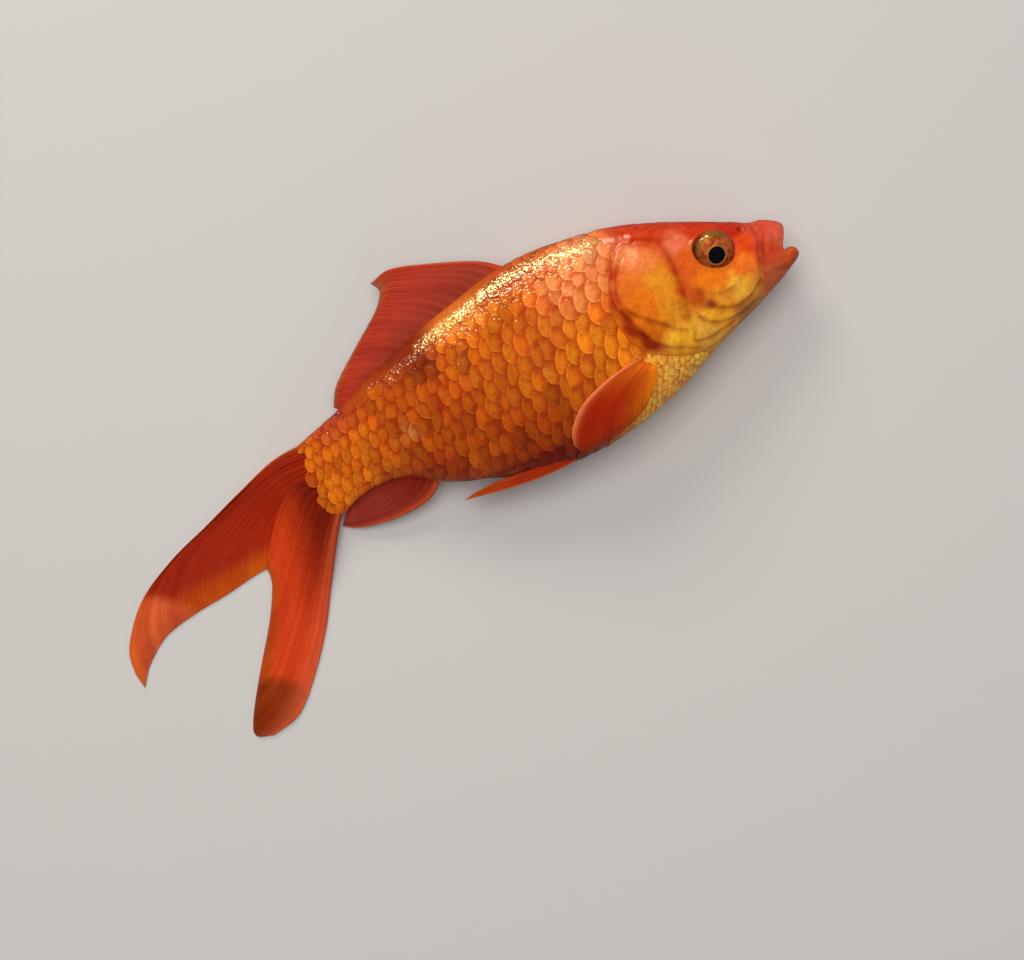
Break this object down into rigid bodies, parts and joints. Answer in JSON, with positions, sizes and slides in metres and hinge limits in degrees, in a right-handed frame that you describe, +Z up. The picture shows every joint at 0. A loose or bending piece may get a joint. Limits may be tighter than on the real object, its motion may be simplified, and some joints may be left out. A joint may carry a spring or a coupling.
{
  "type": "goldfish",
  "caption": "Life-size goldfish lying still on its left side: deep scaled body, half-raised dorsal fin, folded lower fins, forked tail laid flat and parted lips.",
  "frame": {"origin": "under the middle of the whole fish's box, on the surface that it lies on", "axes": "+X runs from the tail to the snout, +Y from the belly to the back, +Z up from the surface towards the right flank"},
  "size_m": [0.158, 0.0742, 0.0214],
  "materials": {
    "skin": "wet gloss over scales",
    "gill_cover": "wet gloss, pearly",
    "fin": "wet gloss over fine rays",
    "eye": "polished"
  },
  "bodies": {
    "root": {"head": "skin", "upper_jaw": "skin", "lower_jaw": "skin", "trunk": "skin", "tail_stalk": "skin", "gill_cover_right": "gill_cover", "gill_cover_left": "gill_cover", "eye_right": "eye", "eye_left": "eye", "dorsal_fin": "fin", "anal_fin": "fin", "tail_fin_upper": "fin", "tail_fin_lower": "fin", "pelvic_fin_right": "fin", "pelvic_fin_left": "fin", "pectoral_fin_right": "fin", "pectoral_fin_left": "fin"}
  },
  "joints": []
}
